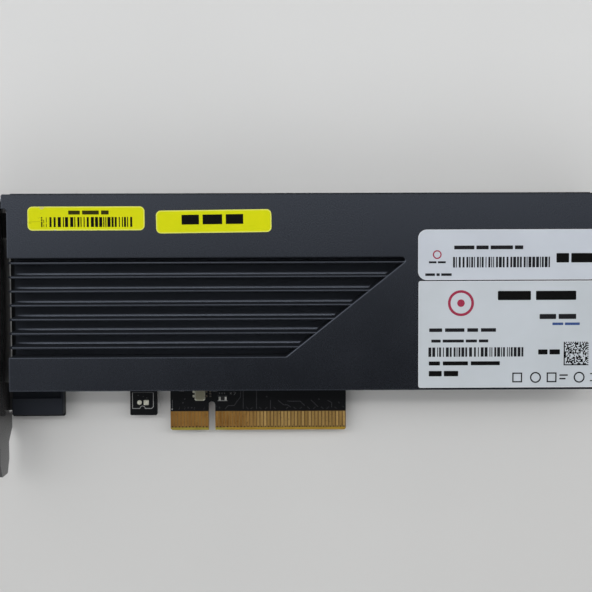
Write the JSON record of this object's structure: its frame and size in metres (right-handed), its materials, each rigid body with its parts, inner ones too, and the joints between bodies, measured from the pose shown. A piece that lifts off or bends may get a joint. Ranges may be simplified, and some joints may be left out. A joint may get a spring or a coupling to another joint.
{
  "type": "pcie card solid state drive",
  "caption": "Low-profile, half-length add-in card holding flash storage, with a finned full-length heatsink, a back plate, an I/O bracket and a gold edge connector.",
  "frame": {"origin": "middle of the overall box, on the plane of the back plate's outer face, where the card rests", "axes": "+X along the card away from the I/O bracket, +Y from the edge connector to the card's top edge, +Z from the back plate to the heatsink's top"},
  "size_m": [0.1804, 0.0808, 0.019],
  "materials": {
    "heatsink": "black anodised, satin",
    "board": "black solder mask",
    "gold": "gold plated",
    "solder": "tinned",
    "bracket": "black nickel, satin",
    "back_plate": "black anodised, satin",
    "screws": "black zinc",
    "chip_black": "moulded epoxy",
    "ferrite": "pressed powder",
    "ceramic_white": "ceramic body",
    "capacitor_can": "drawn can on a black base",
    "oscillator_ceramic": "ceramic body",
    "chip_part_black": "ceramic body",
    "thermal_pad": "soft filled silicone",
    "sticker_yellow": "printed film",
    "sticker_white": "printed film"
  },
  "bodies": {
    "root": {"heatsink": "heatsink", "circuit_board": "board", "edge_contacts_component_side": "gold", "edge_contacts_solder_side": "gold", "header_solder_joints": "solder", "oscillator_solder_joints": "solder", "chip_part_ends": "solder", "bracket": "bracket", "back_plate": "back_plate", "cover_screws": "screws", "bracket_screws": "screws", "controller_chip": "chip_black", "flash_packages_component_side": "chip_black", "flash_packages_solder_side": "chip_black", "working_memory_chips": "chip_black", "regulator_chips": "chip_black", "firmware_memory_chip": "chip_black", "power_inductors": "ferrite", "input_fuse": "ceramic_white", "hold_up_capacitors": "capacitor_can", "clock_oscillator": "oscillator_ceramic", "chip_part_bodies": "chip_part_black", "controller_thermal_pad": "thermal_pad", "flash_thermal_pads_component_side": "thermal_pad", "flash_thermal_pads_solder_side": "thermal_pad", "memory_thermal_pads": "thermal_pad", "asset_sticker_left": "sticker_yellow", "asset_sticker_right": "sticker_yellow", "part_sticker": "sticker_white", "rating_sticker": "sticker_white"}
  },
  "joints": []
}
